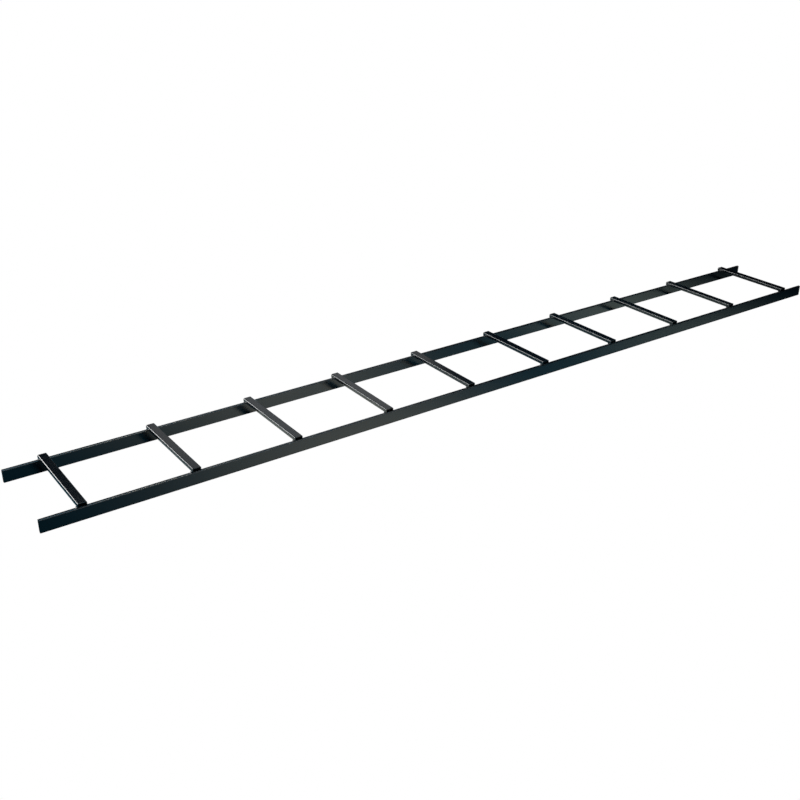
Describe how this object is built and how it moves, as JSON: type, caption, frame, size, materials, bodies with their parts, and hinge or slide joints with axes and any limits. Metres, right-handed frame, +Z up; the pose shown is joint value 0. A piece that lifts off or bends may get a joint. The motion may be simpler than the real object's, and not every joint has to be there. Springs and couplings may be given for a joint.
{
  "type": "cable ladder rack section",
  "caption": "Straight welded ladder rack section: two tube side rails on edge with flat tube rungs across their tops, black powder coat.",
  "frame": {"origin": "on the floor plane through the rails' undersides, midway between the rails and midway along the section", "axes": "+X along the side rails, +Y across them from the front rail to the back rail, +Z up through the rungs' tops"},
  "size_m": [3, 0.3048, 0.0508],
  "materials": {
    "rail_coat": "black powder coat, satin, fine orange-peel texture",
    "rung_coat": "black powder coat, satin, fine orange-peel texture",
    "weld_coat": "weld bead under the same black powder coat, rippled"
  },
  "bodies": {
    "root": {"side_rail_front": "rail_coat", "side_rail_back": "rail_coat", "rung_01": "rung_coat", "rung_02": "rung_coat", "rung_03": "rung_coat", "rung_04": "rung_coat", "rung_05": "rung_coat", "rung_06": "rung_coat", "rung_07": "rung_coat", "rung_08": "rung_coat", "rung_09": "rung_coat", "rung_10": "rung_coat", "weld_front_01": "weld_coat", "weld_front_02": "weld_coat", "weld_front_03": "weld_coat", "weld_front_04": "weld_coat", "weld_front_05": "weld_coat", "weld_front_06": "weld_coat", "weld_front_07": "weld_coat", "weld_front_08": "weld_coat", "weld_front_09": "weld_coat", "weld_front_10": "weld_coat", "weld_back_01": "weld_coat", "weld_back_02": "weld_coat", "weld_back_03": "weld_coat", "weld_back_04": "weld_coat", "weld_back_05": "weld_coat", "weld_back_06": "weld_coat", "weld_back_07": "weld_coat", "weld_back_08": "weld_coat", "weld_back_09": "weld_coat", "weld_back_10": "weld_coat"}
  },
  "joints": []
}
